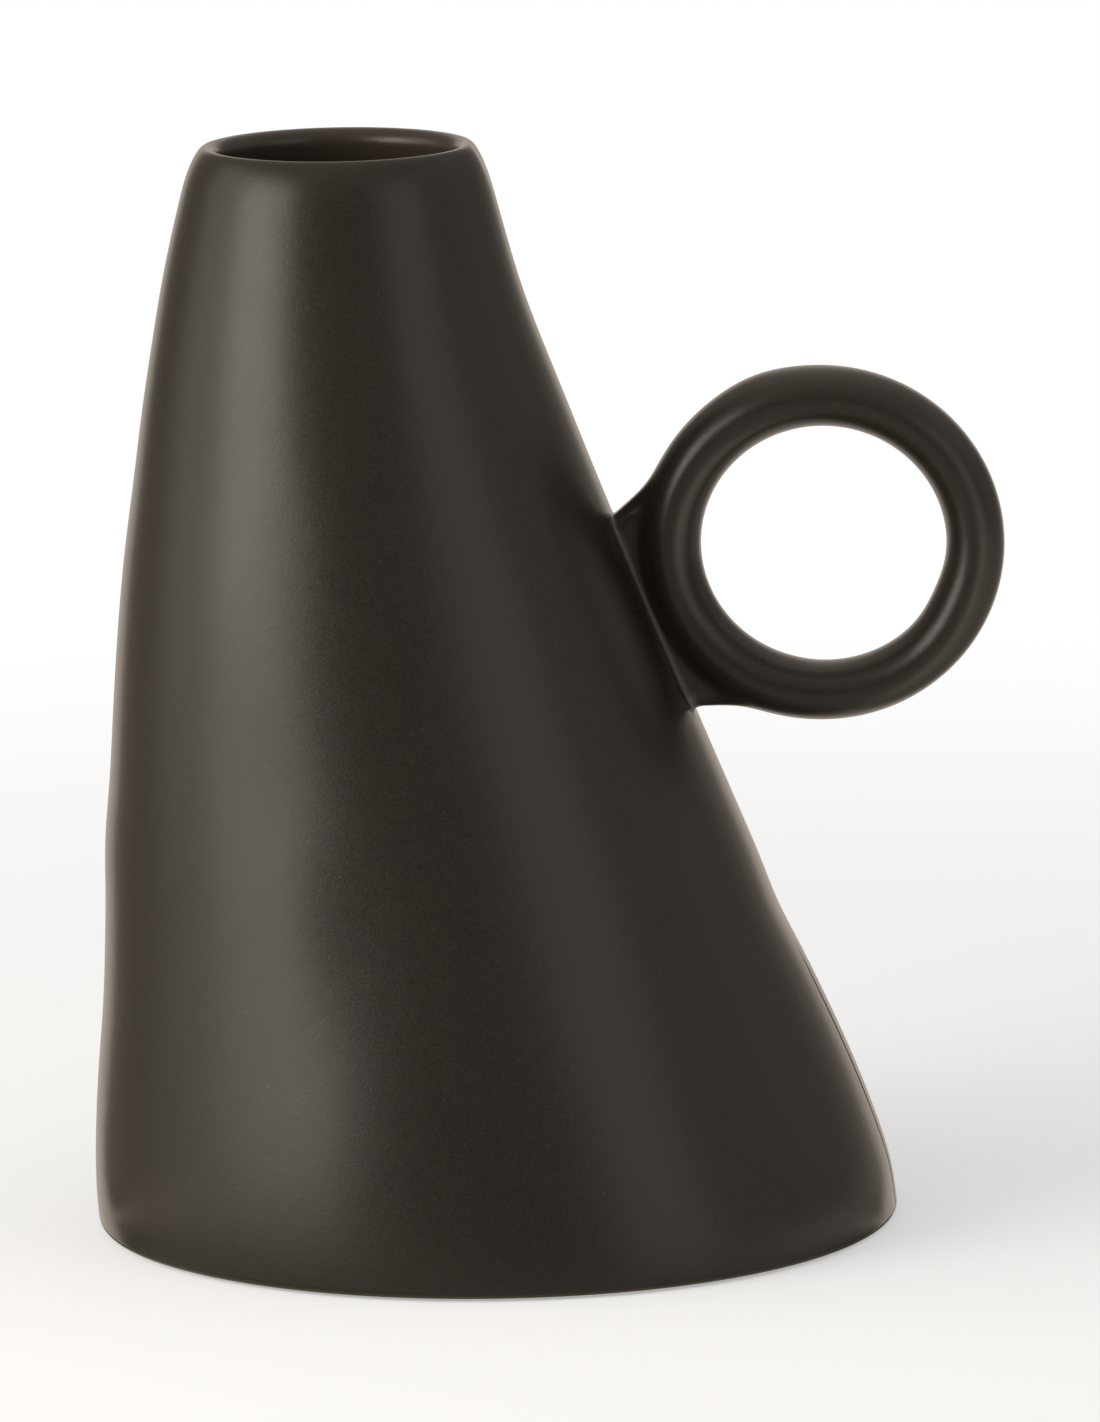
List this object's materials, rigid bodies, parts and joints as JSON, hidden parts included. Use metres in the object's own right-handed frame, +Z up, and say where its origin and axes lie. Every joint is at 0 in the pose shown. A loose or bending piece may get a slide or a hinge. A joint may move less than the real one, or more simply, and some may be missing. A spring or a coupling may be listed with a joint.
{
  "type": "bud vase",
  "caption": "Leaning bud vase, a tapered body with a narrow mouth and a closed ring handle low on its sloping side, in dark satin-glazed stoneware.",
  "frame": {"origin": "middle of the whole object's length and width, on the plane that it stands on; the foot's centre is 7.3 mm towards -X", "axes": "+Z up, +X from the body towards the ring handle, Y across the handle, which lies in the XZ plane"},
  "size_m": [0.1272, 0.1116, 0.15],
  "materials": {
    "glaze": "satin dark brown-black glaze",
    "bare_clay": "bare fired stoneware, matt"
  },
  "bodies": {
    "root": {"foot_ring": "bare_clay", "floor_disc": "glaze", "corner_coil": "glaze", "body_wall": "glaze", "mouth_lip": "glaze", "ring_handle": "glaze", "handle_web": "glaze", "handle_slip_bead": "glaze"}
  },
  "joints": []
}
